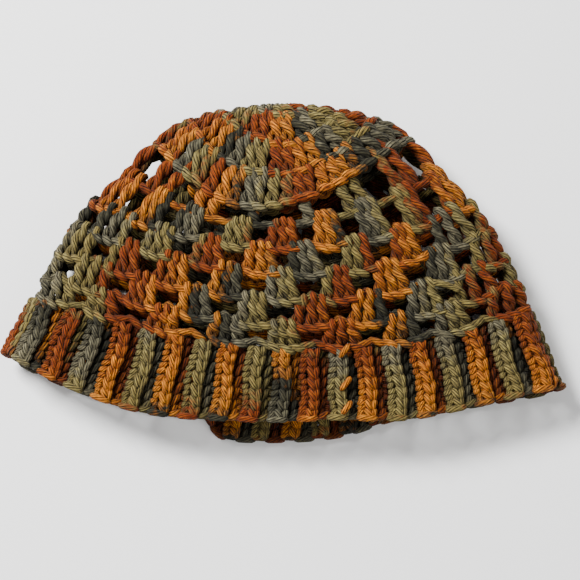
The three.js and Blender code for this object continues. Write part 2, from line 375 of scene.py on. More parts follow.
def carried_sides(paths):
    """The tangent and two directions across it at each step. The first of those is the one of the step
    before, less its part along the tangent."""
    tangent = unit(np.gradient(paths, axis=1))
    side = np.empty_like(paths)
    side[:, 0] = unit(np.cross(tangent[:, 0], FIRST_SIDE))
    for k in range(1, paths.shape[1]):
        along = (side[:, k - 1] * tangent[:, k]).sum(-1, keepdims=True)
        side[:, k] = unit(side[:, k - 1] - tangent[:, k] * along)
    return tangent, side, np.cross(tangent, side)


def tube_faces(steps, sides):
    """Faces of one closed tube: quads from ring to ring, and triangles from the end rings to two poles."""
    k, s = np.meshgrid(np.arange(steps - 1), np.arange(sides), indexing="ij")
    s1 = (s + 1) % sides
    quads = np.stack([k * sides + s, k * sides + s1, (k + 1) * sides + s1, (k + 1) * sides + s], axis=-1)
    s = np.arange(sides)
    s1 = (s + 1) % sides
    pole = steps * sides
    end = pole - sides
    tips = np.concatenate([
        np.stack([np.full(sides, pole), s1, s], axis=-1),
        np.stack([np.full(sides, pole + 1), end + s, end + s1], axis=-1),
    ])
    return quads.reshape(-1, 4), tips


def on_points(values, sides):
    """A value for each step, given to all points of its ring, and the end ones to the poles too."""
    return np.concatenate([np.repeat(values, sides, axis=1), values[:, :1], values[:, -1:]], axis=1)


def sweep(path, radius, dye, sides=SIDES):
    """Closed tubes along a path (points [strand, step, xyz], sheet normals and heights): rings of a radius
    round each step, and a pole at each end."""
    paths, out, height = path
    count, steps = paths.shape[:2]
    tangent, side, other = carried_sides(paths)
    thickness = np.broadcast_to(radius, (count, steps)).copy()
    thickness[:, [0, -1]] *= END_RADIUS
    angle = 2 * np.pi * np.arange(sides) / sides
    ring = side[:, :, None] * np.cos(angle)[:, None] + other[:, :, None] * np.sin(angle)[:, None]
    rings = paths[:, :, None] + ring * thickness[:, :, None, None]
    ends = tangent[:, [0, -1]] * thickness[:, [0, -1], None] * END_POINT
    poles = paths[:, [0, -1]] + ends * np.array([-1, 1])[:, None]
    points = np.concatenate([rings.reshape(count, -1, 3), poles], axis=1)
    points[..., 2] = press(points[..., 2])
    # these heights go to the material, which draws yarn near the fabric's middle darker as painted shade
    heights = height[:, :, None] + thickness[:, :, None] * (ring * out[:, :, None]).sum(-1)
    heights = np.concatenate([heights.reshape(count, -1), height[:, :1], height[:, -1:]], axis=1)
    quads, tips = tube_faces(steps, sides)
    walked = np.cumsum(np.linalg.norm(np.diff(paths, axis=1), axis=-1), axis=1)
    length = np.concatenate([np.zeros((count, 1)), walked], axis=1) + rng.uniform(0, 1, (count, 1))
    lengthwise = on_points(length, sides)
    roundwise = np.append(np.tile(np.arange(sides) / sides, steps), [0.5, 0.5])
    quad_round = roundwise[quads]
    quad_round[quads[:, 1] % sides == 0, 1:3] = 1.0
    dyes = on_points(np.broadcast_to(dye, (count, steps)), sides)
    base = np.arange(count)[:, None, None] * points.shape[1]
    return {
        "points": points.reshape(-1, 3),
        "dyes": dyes.reshape(-1),
        "heights": heights.reshape(-1) / MM,
        "quads": (quads + base).reshape(-1, 4),
        "tips": (tips + base).reshape(-1, 3),
        "quad_uv": np.stack(np.broadcast_arrays(quad_round, lengthwise[:, quads]), axis=-1).reshape(-1, 2),
        "tip_uv": np.stack(np.broadcast_arrays(roundwise[tips], lengthwise[:, tips]), axis=-1).reshape(-1, 2),
    }


def yarn_object(name, batches):
    """One object from batches of swept strands, with its UV map and its two attributes."""
    joined = {key: np.concatenate([batch[key] for batch in batches])
              for key in ("points", "dyes", "heights", "quad_uv", "tip_uv")}
    offsets = np.cumsum([0] + [len(batch["points"]) for batch in batches])
    quads = np.concatenate([batch["quads"] + o for batch, o in zip(batches, offsets)])
    tips = np.concatenate([batch["tips"] + o for batch, o in zip(batches, offsets)])
    mesh = bpy.data.meshes.new(name)
    mesh.vertices.add(len(joined["points"]))
    mesh.vertices.foreach_set("co", joined["points"].ravel())
    mesh.loops.add(quads.size + tips.size)
    mesh.loops.foreach_set("vertex_index", np.concatenate([quads.ravel(), tips.ravel()]))
    mesh.polygons.add(len(quads) + len(tips))
    starts = np.concatenate([np.arange(len(quads)) * 4, quads.size + np.arange(len(tips)) * 3])
    mesh.polygons.foreach_set("loop_start", starts)
    mesh.polygons.foreach_set("use_smooth", np.ones(len(starts), dtype=bool))
    uv = mesh.uv_layers.new(name="yarn")
    uv.data.foreach_set("uv", np.concatenate([joined["quad_uv"], joined["tip_uv"]]).ravel())
    for attribute, key in (("dye", "dyes"), ("height", "heights")):
        mesh.attributes.new(attribute, "FLOAT", "POINT").data.foreach_set("value", joined[key])
    mesh.update(calc_edges=True)
    print(f"{name}: {2 * len(quads) + len(tips)} triangles")
    return add_object(name, mesh)


# %% [markdown]
# ## Double crochet
#
# A double crochet is a post with a pair of loops on its top. In the post, two strands cross over each other:
# they part under the round before, cross in front, and part again. Two strands twisted round each other once
# have just that look from both sides of the fabric. The loops on top make a chain along the edge of the
# round, with slanting links in front and others behind that slant the other way.

# %% A post and a chain link
LEAST_PACE = 0.02  # metres of fabric in a turn; keeps shifts small in the crown's middle
POST_STEPS = 14
POST_TURNS = 0.97  # how often the strands go round each other
POST_HURRY = 1.25  # above 1 the twist is quicker towards the foot
POST_WIDTH = {"top": 0.55, "flare": 0.55}  # shares of the spread at the top, and added towards the foot
POST_ENDS = {"top": 0.1, "foot": 0.06, "flat": 0.35}  # the stretches that flatten, and the depth left there
POST_RADIUS = {"ends": 0.84, "belly": 0.24}
POST_POWERS = {"lift": 0.7, "belly": 0.8}  # below 1 the lift is fuller, and the belly sits higher up
POST_DYE = {"run": 0.03, "strand": 0.015}
SECOND_OVER = 0.35  # how much lower the second strand passes over the chain, as a share
LINK_STEPS = 8
LINK_LEAN = 0.9 * MM  # how much further out a link's right end lies, over the start of the next
LINK_ARCH = {"from": 0.02, "share": 0.9}  # the part of half a sine wave that a link follows
LINK_RADIUS = {"ends": 0.72, "belly": 0.34}
LINK_DYE_RUN = 0.02
MIDDLE_FRONT = 0.25  # the turn in the middle of the front


def placed(turn, course, right, down, height):
    """A path near a stitch: its points, the sheet's normals there and its heights. right (seen from outside,
    crown up), down and height (out) are in metres."""
    around_there = np.maximum(look_up(around_pace, turn, course), LEAST_PACE)
    down_there = look_up(down_pace, turn, course)
    turn = turn - right / around_there
    course = course + down / down_there
    turn, course, height = np.broadcast_arrays(turn, course, height)
    out = look_up(grid_normal, turn, course)
    return look_up(grid, turn, course) + out * height[..., None], out, height


def upright(values):
    """One value, or one for each strand, as a column to go with rows of steps."""
    return np.reshape(values, (-1, 1))


def posts(top, foot, spread, depth, lift, dye, over=0.0, reach=0.2, thick=1.0):
    """Two strands twisted once round each other: to the side they follow a cosine, and outwards a sine. top
    and foot are (turn, course), spread is half the width of the twist and depth half its thickness, lift
    swells the middle, and over raises the top over a chain, down to about reach of the post."""
    b = np.linspace(0, 1, POST_STEPS)
    ends = np.minimum(1, np.minimum(b / POST_ENDS["top"], (1 - b) / POST_ENDS["foot"]))
    flat = POST_ENDS["flat"] + (1 - POST_ENDS["flat"]) * ends
    turn, course = (between(upright(start), upright(end), b) for start, end in zip(top, foot))
    swell = upright(lift) * np.sin(np.pi * b) ** POST_POWERS["lift"]
    batches = []
    for strand in (0, 1):
        angle = np.pi / 2 + np.pi * strand + 2 * np.pi * POST_TURNS * b**POST_HURRY
        right = -upright(spread) * (POST_WIDTH["top"] + POST_WIDTH["flare"] * b) * np.cos(angle)
        height = depth * np.sin(angle) * flat + swell
        height = height + over * (1 - SECOND_OVER * strand) * np.exp(-((b / reach) ** 2)) * ends
        belly = POST_RADIUS["belly"] * np.sin(np.pi * b ** POST_POWERS["belly"])
        thickness = YARN * thick * (POST_RADIUS["ends"] + belly)
        dyes = upright(dye) + POST_DYE["run"] * (b - 0.5) + POST_DYE["strand"] * strand
        batches.append(sweep(placed(turn, course, right, 0.0, height), thickness, dyes))
    return batches


def links(turn, course, right, length, sag, slant, height, dye, face=1, thick=1.0):
    """Chain links, each a strand from left to right that arches out by a sine. right is where its middle
    lies, sag(right) how far down the chain hangs there, and slant how much lower its right end is. face is 1
    on the outside of the fabric and -1 on the inside."""
    t = np.linspace(0, 1, LINK_STEPS)
    across = upright(right) + upright(length) * (t - 0.5)
    down = sag(across) + slant * (t - 0.5)
    arch = np.sin(np.pi * (LINK_ARCH["from"] + LINK_ARCH["share"] * t))
    rise = face * (upright(height) * arch + LINK_LEAN * (t - 0.5))
    thickness = YARN * thick * (LINK_RADIUS["ends"] + LINK_RADIUS["belly"] * np.sin(np.pi * t))
    path = placed(upright(turn), upright(course), across, down, rise)
    return sweep(path, thickness, upright(dye) + LINK_DYE_RUN * t)


def level(across):
    """A chain that doesn't hang."""
    return 0 * across


def dyed(turn, size):
    """The dye along a round, counted in its stitches or clusters from the middle of the front. It gains the
    pace with each one towards the right, against the turn, and bend changes that pace in the front."""
    passed = (np.mod(turn, 1) - MIDDLE_FRONT) * size["count"]
    in_front = np.clip(passed, -size["count"] / 4, size["count"] / 4)
    return size["dye"] - passed * size["pace"] + in_front**2 * size["bend"]


# %% [markdown]
# ## Crown
#
# The crown is four solid rounds of double crochet, with twelve more stitches in each round than in the one
# before, so it lies flat like a coaster. Folded in half it shows as a lens at the top of the hat. The posts
# could be placed one by one, but at even turns with small random shifts they look like handwork too. The
# last chain stands out as a lip over the dark openings below it.

# %% Crown stitches
CROWN_ROUNDS = [  # start: where the posts start, in rounds past the end of the round before
    {"count": 12, "dye": 0.4, "pace": 0.13, "bend": 0.0, "lip": 1.0, "start": 0.25},
    {"count": 24, "dye": 0.87, "pace": 0.12, "bend": 0.0, "lip": 1.0, "start": -0.12},
    {"count": 36, "dye": 0.6, "pace": 0.13, "bend": 0.0, "lip": 1.0, "start": -0.12},
    {"count": 48, "dye": 0.42, "pace": 0.115, "bend": -0.0045, "lip": 1.75, "start": -0.12},
]
CROWN_POST = {"spread": 0.3, "depth": 1.5 * MM, "lift": 1.1 * MM, "over": 1.6 * MM, "thick": 1.14}
CROWN_FOOT = 0.02  # how far above the chain the posts end, in courses
CROWN_LINK = {"length": 1.3, "lip": 2.3 * MM, "slant": (2.8 * MM, -2.4 * MM), "thick": (1.2, 1.1)}
CROWN_UNEVEN = {"turn": 0.06, "foot": 0.12, "top": 0.012, "lift": 0.3 * MM, "lip": 0.4 * MM, "hang": 0.008}
BACK_DYE = 0.03  # how much further along the yarn the links behind are


def crown_strands():
    """Posts and links of all crown rounds, at even turns."""
    post, link, uneven = CROWN_POST, CROWN_LINK, CROWN_UNEVEN
    batches = []
    for number, size in enumerate(CROWN_ROUNDS):
        count = size["count"]
        turn = (np.arange(count) + 0.5) / count + jitter(count, uneven["turn"] / count)
        foot = -1 + (number + 1) / len(CROWN_ROUNDS)
        width = look_up(around_pace, turn, foot) / count
        dye = dyed(turn, size)
        foot_turn = turn + jitter(count, uneven["foot"] / count)
        top = -1 + (number + size["start"]) / len(CROWN_ROUNDS) + jitter(count, uneven["top"])
        lift = post["lift"] + jitter(count, uneven["lift"])
        batches += posts((turn, top), (foot_turn, foot - CROWN_FOOT), width * post["spread"], post["depth"],
                         lift, dye, over=post["over"], thick=post["thick"])
        lip = link["lip"] * size["lip"] + jitter(count, uneven["lip"])
        middle = jitter(count, uneven["lip"])
        hang = foot + jitter(count, uneven["hang"])
        length = width * link["length"]
        batches.append(links(turn, hang, middle, length, level, link["slant"][0], lip, dye,
                             thick=link["thick"][0]))
        batches.append(links(turn, foot, middle, length, level, link["slant"][1], lip, dye + BACK_DYE,
                             face=-1, thick=link["thick"][1]))
    return batches


crown = yarn_object("crown_stitches", crown_strands())

# %% [markdown]
# ## Open rounds
#
# The first round under the crown draws the fabric in. In front it has single and paired posts, and the dark
# openings between them are the widest of the hat.
#
# A granny cluster is three double crochets in one space. They stand close together where they start and fan
# out to the next chain, so a dark opening is left between one cluster and the next, and the clusters of a
# round start from the openings of the round before. No chain stitches lie between the clusters, so each new
# cluster pulls the chain above it up, and the chain hangs under the clusters like a garland: three links
# stand out under each cluster, and two flatter ones cross to the next.
#
# The cut end of the yarn, which was woven in, has slipped out on top of one round.

# %% Open round stitches
ROUNDS = [
    {"count": 14, "shift": 0.5, "dye": 0.1, "pace": 0.17, "bend": 0.0},
    {"count": 18, "shift": 0.0, "dye": 0.62, "pace": 0.26, "bend": 0.01},
    {"count": 18, "shift": 0.5, "dye": 0.97, "pace": 0.29, "bend": 0.015},
    {"count": 18, "shift": 0.0, "dye": 0.25, "pace": 0.27, "bend": 0.01},
    {"count": 18, "shift": 0.5, "dye": 0.46, "pace": 0.3, "bend": 0.0},
    {"count": 18, "shift": 0.0, "dye": 0.33, "pace": 0.3, "bend": 0.005},
]
FIRST_POST = {"spread": 2.2 * MM, "depth": 1.6 * MM, "thick": 1.08, "foot": 0.98, "gap": 1.2}
FIRST_PAIRS = {"every": 3, "from_front": 0.17}  # every third place, and all places near the folds
FIRST_TOP = {"course": -0.08, "at_fold": -0.14}
FIRST_LIFT = {"front": 1.2, "at_fold": 2.6}  # in mm
FIRST_CHAIN = {"count": 44, "length": 1.45, "slant": 2.8 * MM, "height": 1.9 * MM}
FIRST_UNEVEN = {"top": 0.04, "foot": 0.05, "lift": 0.3 * MM}


def first_round():
    """Single and paired posts under the crown's lip, three together in the back, and the chain at their feet.
    Near the folds, by a bell curve, the posts start further up and stand out."""
    size, post, uneven = ROUNDS[0], FIRST_POST, FIRST_UNEVEN
    count = size["count"]
    centre = (np.arange(count) + 0.5 + size["shift"]) / count
    batches = []
    from_front = np.abs(np.mod(centre, 1) - MIDDLE_FRONT)
    paired = (np.arange(count) % FIRST_PAIRS["every"] == 1) | (from_front > FIRST_PAIRS["from_front"])
    posts_here = np.where(from_front > MIDDLE_FRONT, 3, np.where(paired, 2, 1))
    for member in range(posts_here.max()):
        chosen = posts_here > member
        place = (member - (posts_here[chosen] - 1) / 2) / (post["gap"] + posts_here[chosen]) / count
        turn = centre[chosen] + place
        n = len(turn)
        top_turn = turn + jitter(n, uneven["top"] / count)
        foot_turn = turn + jitter(n, uneven["foot"] / count)
        dye = dyed(turn, size)
        at_fold = np.exp(-(((from_front[chosen] - MIDDLE_FRONT) * count) ** 2))
        top = FIRST_TOP["course"] + FIRST_TOP["at_fold"] * at_fold
        lift = (FIRST_LIFT["front"] + FIRST_LIFT["at_fold"] * at_fold) * MM + jitter(n, uneven["lift"])
        batches += posts((top_turn, top), (foot_turn, post["foot"]), post["spread"], post["depth"], lift, dye,
                         thick=post["thick"])
    chain = FIRST_CHAIN["count"]
    turn = (np.arange(chain) + 0.5) / chain
    length = look_up(around_pace, turn, 1) / chain * FIRST_CHAIN["length"]
    dye = dyed(turn, size)
    for face in (1, -1):
        height = FIRST_CHAIN["height"] + jitter(chain, uneven["lift"])
        batches.append(links(turn, 1, 0, length, level, FIRST_CHAIN["slant"] * face, height, dye, face))
    return batches


# %% Granny clusters
CLUSTER_TOP = 0.34  # how far a cluster reaches up past the chain above it, as a share of its course
CLUSTER_POST = {"spread": 1.95 * MM, "depth": 1.5 * MM, "lift": 1.6 * MM, "over": 2.6 * MM, "reach": 0.26}
CLUSTER_FOOT = 0.03  # how far above the chain the posts end, in courses
OUTER_TOP = 0.05  # how much lower the outer posts start, in courses
FAN = {"foot": (0.225, 0.3), "top": (0.15, 0.24)}  # from post to post, in pitches, in front and at the back
FRONT_MARGIN = 1.1  # how many clusters before the folds the front ends
CLUSTER_UNEVEN = {"centre": 0.038, "fan": 0.12, "lean": 0.06, "foot": 0.015, "top": 0.03, "lift": 0.25 * MM}
HANG = 1.0 * MM  # how far the chain hangs under a cluster
PULL = 4.4 * MM  # how far up the next cluster pulls it
PETAL = {"step": 6.4, "shift": 0.6, "length": 9 * MM, "rise": 3.3 * MM, "slant": (4.4 * MM, -3.4 * MM)}
PETAL_BACK = 0.9  # rise of the petals inside, as a share
PETAL_UNEVEN = {"right": 0.4 * MM, "rise": 0.3 * MM, "length": 0.5 * MM}
CROSSING = {"places": (0.38, 0.62), "length": 0.36, "rise": 1.4 * MM, "slant": 2.6 * MM, "uneven": 0.2 * MM}


def cluster_round(number):
    """Clusters of three posts in a fan, and the chain that hangs under them."""
    size, post, uneven = ROUNDS[number - 1], CLUSTER_POST, CLUSTER_UNEVEN
    count = size["count"]
    centre = (np.arange(count) + 0.5 + size["shift"]) / count + jitter(count, uneven["centre"] / count)
    pitch = look_up(around_pace, centre, number) / count
    dye = dyed(centre, size)
    front = np.abs(np.mod(centre, 1) - MIDDLE_FRONT) < MIDDLE_FRONT - FRONT_MARGIN / count
    fan = np.where(front, *FAN["foot"]) * (1 + jitter(count, uneven["fan"]))
    lean = jitter(count, uneven["lean"])
    batches = []
    for member in (-1, 0, 1):
        top_turn = centre + (member * np.where(front, *FAN["top"]) + lean) / count
        foot_turn = centre + member * fan / count + jitter(count, uneven["foot"] / count)
        top = number - 1 - CLUSTER_TOP + OUTER_TOP * abs(member) + jitter(count, uneven["top"])
        foot = number - CLUSTER_FOOT + jitter(count, uneven["foot"])
        lift = post["lift"] + jitter(count, uneven["lift"])
        batches += posts((top_turn, top), (foot_turn, foot), post["spread"], post["depth"], lift,
                         dye - member * size["pace"] / 3, over=post["over"], reach=post["reach"])

    def sag(across):
        """Down under the middle of a cluster and up between two, by the square of the distance."""
        from_middle = np.abs(np.mod(across / upright(pitch) + 0.5, 1) - 0.5)
        return HANG - PULL * (2 * from_middle) ** 2

    for place in (-1, 0, 1):
        right = (place * PETAL["step"] + PETAL["shift"]) * MM + jitter(count, PETAL_UNEVEN["right"])
        petal_dye = dye + place * size["pace"] / 4
        rise = PETAL["rise"] + jitter(count, PETAL_UNEVEN["rise"])
        length = PETAL["length"] + jitter(count, PETAL_UNEVEN["length"])
        batches.append(links(centre, number, right, length, sag, PETAL["slant"][0], rise, petal_dye))
        batches.append(links(centre, number, right, length, sag, PETAL["slant"][1], rise * PETAL_BACK,
                             petal_dye + BACK_DYE, face=-1))
    for place in CROSSING["places"]:
        rise = CROSSING["rise"] + jitter(count, CROSSING["uneven"])
        batches.append(links(centre, number, pitch * place, pitch * CROSSING["length"], sag,
                             CROSSING["slant"], rise, dye + size["pace"] * place))
    return batches


# %% Loose end, and the open rounds' pieces
LOOSE_ROUND = 5
LOOSE_END = {"turn": (0.099, 0.074), "course": (3.86, 4.46), "bow": 1.5 * MM, "dye": 0.36, "taper": 0.25}
LOOSE_HEIGHT = {"full": 6.4 * MM, "start": 0.3, "climb": 3, "settle": 1.2 * MM}


def loose_end():
    """The cut end of the yarn: it climbs out of the fabric, bows to the side by a sine, and settles."""
    t = np.linspace(0, 1, POST_STEPS)[None]
    turn, course = (between(*LOOSE_END[key], t) for key in ("turn", "course"))
    climb = np.minimum(1, LOOSE_HEIGHT["start"] + LOOSE_HEIGHT["climb"] * t)
    height = LOOSE_HEIGHT["full"] * climb - LOOSE_HEIGHT["settle"] * t
    path = placed(turn, course, LOOSE_END["bow"] * np.sin(np.pi * t), 0.0, height)
    return sweep(path, YARN * (1 - LOOSE_END["taper"] * t), LOOSE_END["dye"])


open_rounds = [yarn_object("open_round_1_stitches", first_round())]
for number in range(2, len(ROUNDS) + 1):
    strands = cluster_round(number)
    if number == LOOSE_ROUND:
        strands.append(loose_end())
    open_rounds.append(yarn_object(f"open_round_{number}_stitches", strands))

# %% [markdown]
# ## Ribbed band
#
# The band is worked sideways: short rows up and down, each into the back loops of the last. Every second row
# stands out as a rib, and the one between sinks back into a furrow. A rib shows two slanting legs like a
# plait on its right side and a column of small bumps on its left. Each strand is given by its ends in a
# stitch's own square, and the square is repeated. Each rib ends at the rim in wrapped loops, so the rim is
# scalloped. Inside the hat the sunken rows are the ribs, so the same strands are used there, turned over.
# Ribs made by hand stray a little to their sides, and three stitches of a seam lie at one furrow.

# %% Band stitches
RIBS = 40
BAND_STITCHES = 7
BAND_TOP = 0.05  # how far below its upper edge the stitches start, in courses
BAND_END = 0.03  # how far above the rim they end
OUTSIDE = {"steps": 6, "sides": 7}
INSIDE = {"steps": 4, "sides": 5}  # coarser, since it is hardly seen
CREST = [  # right and height in mm, down in stitches, radius as a share of the yarn's
    {"right": (0.2, 2.8), "down": (-0.15, 0.95), "height": (1.8, 3.6), "radius": 0.95},
    {"right": (4.7, 3.3), "down": (-0.2, 1.15), "height": (1.0, 2.8), "radius": 0.9},
    {"right": (-0.6, -3.8), "down": (0.05, 0.34), "height": (3.0, 2.4), "radius": 0.9},
    {"right": (-0.9, -4.1), "down": (0.55, 0.86), "height": (2.9, 2.3), "radius": 0.86},
]
FURROW = [{"right": (1.7, -1.7), "down": (-0.1, 0.9), "height": (-1.9, -0.9), "radius": 1.05}]
STRAND_ARCH = {"from": 0.1, "share": 0.8}  # the part of half a sine wave that a strand follows
FOLD_RIBS = 1.1  # how many ribs from a fold the furrows are swollen, so that no slot opens where they bend
FOLD_SWELL = 0.8
FOLD_FILL = 1.9 * MM
RIB_WOBBLE = 0.7 * MM  # how far a rib strays to its sides
RIB_WAVES = 1.3  # waves of that in the length of a rib
BAND_UNEVEN = {"rib": 0.25 * MM, "right": 0.22 * MM, "down": 0.004, "height": 0.15 * MM, "dye": 0.03}
RIM_STRAND = {"steps": 7, "radius": 0.95, "belly": 1.2, "bow": 0.9, "cross": 0.9, "apart": 1.4, "dye": 0.02}
RIM_WRAPS = [  # height and reach past the rim in mm, and half the width
    {"crest": True, "height": 1.0, "reach": 3.0, "half": 4.6 * MM},
    {"crest": True, "height": 1.9, "reach": 0.9, "half": 5.3 * MM},
    {"crest": False, "height": -1.4, "reach": -1.7, "half": 4 * MM},
]


def rib_row(turn, dye, crest, face):
    """The strands of all rows of one kind. Between its ends each is straight to the side and down, and arches
    out by a sine. Near the folds, by a bell curve, the furrows are thicker and lie less deep."""
    stitch = np.arange(BAND_STITCHES)[None, :, None]
    top = RIM - 1 + BAND_TOP
    pitch = (RIM - BAND_END - top) / BAND_STITCHES
    mesh_size = OUTSIDE if face > 0 else INSIDE
    steps = mesh_size["steps"]
    t = np.linspace(0, 1, steps)
    arch = np.sin(np.pi * (STRAND_ARCH["from"] + STRAND_ARCH["share"] * t))
    one_each = (len(turn), BAND_STITCHES, 1)
    full = (len(turn), BAND_STITCHES, steps)
    from_fold = np.abs(np.mod(turn + MIDDLE_FRONT, 2 * MIDDLE_FRONT) - MIDDLE_FRONT) * RIBS
    at_fold = (not crest) * np.exp(-((from_fold / FOLD_RIBS) ** 2))[:, None, None]
    phase = rng.uniform(0, 1, (len(turn), 1, 1))
    rib_height = rng.normal(0, BAND_UNEVEN["rib"], (len(turn), 1, 1))
    stray = RIB_WOBBLE * np.sin(2 * np.pi * (phase + RIB_WAVES * (stitch + t) / BAND_STITCHES))
    dyes = dye[:, None, None] + RIB_DYE_RUN * (stitch / BAND_STITCHES - RIB_DYE_MIDDLE)
    dyes = np.broadcast_to(dyes, full).reshape(-1, steps)
    batches = []
    for strand in CREST if crest else FURROW:
        right, down = (between(*strand[key], t) for key in ("right", "down"))
        height = between(*strand["height"], arch)
        right = right * MM + stray + rng.normal(0, BAND_UNEVEN["right"], one_each)
        at = top + pitch * (stitch + down) + rng.normal(0, BAND_UNEVEN["down"], one_each)
        height = face * (height * MM + rng.normal(0, BAND_UNEVEN["height"], one_each))
        height = height + face * (FOLD_FILL * at_fold + rib_height)
        radius = np.broadcast_to(YARN * strand["radius"] * (1 + FOLD_SWELL * at_fold), full)
        points, out, height = placed(turn[:, None, None], at, face * right, 0.0, height)
        path = (points.reshape(-1, steps, 3), out.reshape(-1, steps, 3), height.reshape(-1, steps))
        batches.append(sweep(path, radius.reshape(-1, steps), dyes, mesh_size["sides"]))
    return batches


def rim_loops(turn, dye, height, reach, half):
    """Two strands wrapped across the end of each row, bowed down and out by a sine, crossed by a cosine."""
    t = np.linspace(0, 1, RIM_STRAND["steps"])
    batches = []
    for strand in (0, 1):
        side = strand - 0.5
        right = (2 * t - 1) * half
        bow = RIM_STRAND["bow"] * np.sin(np.pi * t) + RIM_STRAND["cross"] * side * np.cos(np.pi * t)
        lift = height + RIM_STRAND["belly"] * np.sin(np.pi * t) + RIM_STRAND["apart"] * side
        path = placed(upright(turn), RIM, right, (reach + bow) * MM, lift * MM)
        dyes = upright(dye) + RIM_STRAND["dye"] * t
        batches.append(sweep(path, YARN * RIM_STRAND["radius"], dyes, OUTSIDE["sides"]))
    return batches


# %% Seam, dyes of the ribs, and the band's piece
SEAM = {"rib": 7.7, "courses": (6.06, 6.5, 6.82), "across": 5.5 * MM, "up": 6.5 * MM}
SEAM_STRAND = {"lift": 5.2 * MM, "arch": 0.35, "dye": 0.84, "radius": 0.8}  # arch is a share of the lift
FIRST_NUMBER = 22  # of the rib at the right fold; the numbers fall along the turn
RIB_DYE = 0.56
RIB_DYE_STEP = 0.5  # from one rib to the next
RIB_DYE_RUN = 0.25  # from the top of a rib to the rim
RIB_DYE_MIDDLE = 0.4  # where on a rib its own dye is
FURROW_DYE = 0.3  # how much further along the yarn a furrow is than the rib before it
RIM_DYE = (1 - RIB_DYE_MIDDLE) * RIB_DYE_RUN
DYE_SLIPS = [  # where the colours of the ribs move on, by how much and over how many ribs
    {"share": 0.26, "at": 5.6, "ribs": 0.8},
    {"share": 0.5, "at": 12.5, "ribs": 3},
]


def seam_stitches():
    """A few stitches that rise slantwise at a furrow, each arched out by a cosine."""
    t = np.linspace(-0.5, 0.5, LINK_STEPS)
    course = upright(SEAM["courses"])
    arch = SEAM_STRAND["arch"]
    lift = SEAM_STRAND["lift"] * (arch * np.cos(np.pi * t) + 1 - arch)
    path = placed(SEAM["rib"] / RIBS, course, SEAM["across"] * t, -SEAM["up"] * t, lift)
    return sweep(path, YARN * SEAM_STRAND["radius"], SEAM_STRAND["dye"], OUTSIDE["sides"])


def band_strands():
    """All ribs, furrows and rim loops of the band, on both faces of the fabric, and the seam."""
    rib = np.arange(RIBS)
    crest = rib / RIBS
    furrow = (rib + 0.5) / RIBS
    number = FIRST_NUMBER - rib
    crest_dye = RIB_DYE + RIB_DYE_STEP * number + jitter(RIBS, BAND_UNEVEN["dye"])
    for slip in DYE_SLIPS:
        crest_dye = crest_dye + slip["share"] * (1 + np.tanh((number - slip["at"]) / slip["ribs"])) / 2
    furrow_dye = crest_dye + FURROW_DYE
    batches = rib_row(crest, crest_dye, True, 1) + rib_row(furrow, furrow_dye, False, 1)
    batches += rib_row(furrow, furrow_dye, True, -1) + rib_row(crest, crest_dye, False, -1)
    for wrap in RIM_WRAPS:
        turn, dye = (crest, crest_dye) if wrap["crest"] else (furrow, furrow_dye)
        batches += rim_loops(turn, dye + RIM_DYE, wrap["height"], wrap["reach"], wrap["half"])
    batches.append(seam_stitches())
    return batches


band = yarn_object("rib_band_stitches", band_strands())

# %% [markdown]
# ## The yarn's finish
#
# The yarn is a matt, plied one in four colours that run into each other: moss grey, olive, rust and amber.
# Its colour could be painted on, but a real variegated yarn is dyed along its length, so a colour ramp reads
# the dye attribute and repeats. Seven plies show as slanting grooves: a sine, without its sign, of the place
# round the strand plus the length along it. Finer waves and stretched noise make the fibres, and all of it
# also goes into the bump and the colour: painted shade in the grooves, and a random tone on the fibres.
# Yarn near the fabric's middle, by the height attribute, is drawn darker as painted shade deep in the fabric.

# %% Yarn material
DYES = [  # place on the ramp, and the colour there
    (0.0, (0.022, 0.02, 0.011)),
    (0.07, (0.054, 0.048, 0.027)),
    (0.14, (0.12, 0.106, 0.064)),  # moss grey
    (0.22, (0.16, 0.137, 0.078)),
    (0.28, (0.21, 0.163, 0.054)),  # olive
    (0.46, (0.205, 0.148, 0.041)),
    (0.52, (0.2, 0.033, 0.003)),  # rust
    (0.72, (0.25, 0.05, 0.004)),
    (0.8, (0.48, 0.135, 0.009)),  # amber
    (0.94, (0.5, 0.16, 0.012)),
    (1.0, (0.022, 0.02, 0.011)),
]
PLIES = 7
LAY = 0.026  # length in metres in which a ply goes once round
FINE_WAVES = 3  # fine waves for each ply
RELIEF = {"ply": 0.78, "fine": 0.1, "fibre": 2.4}
FIBRES = {"Scale": 5.5, "Detail": 3}
FIBRE_PACE = 55.0  # how fast the noise of the fibres changes along the strand, for each metre
MOTTLE = {"Scale": 260, "Detail": 2}
MOTTLE_BUMP = 0.3
DYE_WANDER = 0.16
HUE_WANDER = 0.07
PLAIN_HUE = 0.5  # the value of the tint node that leaves the hue as it is
# painted shade: the relief darkens the colour in the grooves between the plies; its fibre noise is random
# tone
GROOVE_SHADE_AND_FIBRE_TONE = {"relief": 1.35, "least": 0.02}
BLOTCHES = {"mottle": 1.1, "least": 0.37}
# painted shade: yarn near the fabric's middle, by its height in mm, is drawn darker
PAINTED_DEPTH_SHADE = {"From Min": 0.6, "From Max": 5.6, "To Min": 0.48, "To Max": 1.14}  # from mm to brightness
BUMP = {"Strength": 0.9, "Distance": 0.0007}
FINISH = {"Roughness": 0.85, "Specular IOR Level": 0.12, "Sheen Weight": 0.02, "Sheen Roughness": 0.5}


def link_math(tree, operation, *values):
    """A Math node fed with numbers or sockets; gives its output socket."""
    node = tree.nodes.new("ShaderNodeMath")
    node.operation = operation
    for socket, value in zip(node.inputs, values):
        if isinstance(value, (int, float)):
            socket.default_value = value
        else:
            tree.links.new(value, socket)
    return node.outputs[0]


def scaled(tree, value, factor, offset):
    """A value times a factor, plus an offset."""
    return link_math(tree, "ADD", link_math(tree, "MULTIPLY", value, factor), offset)


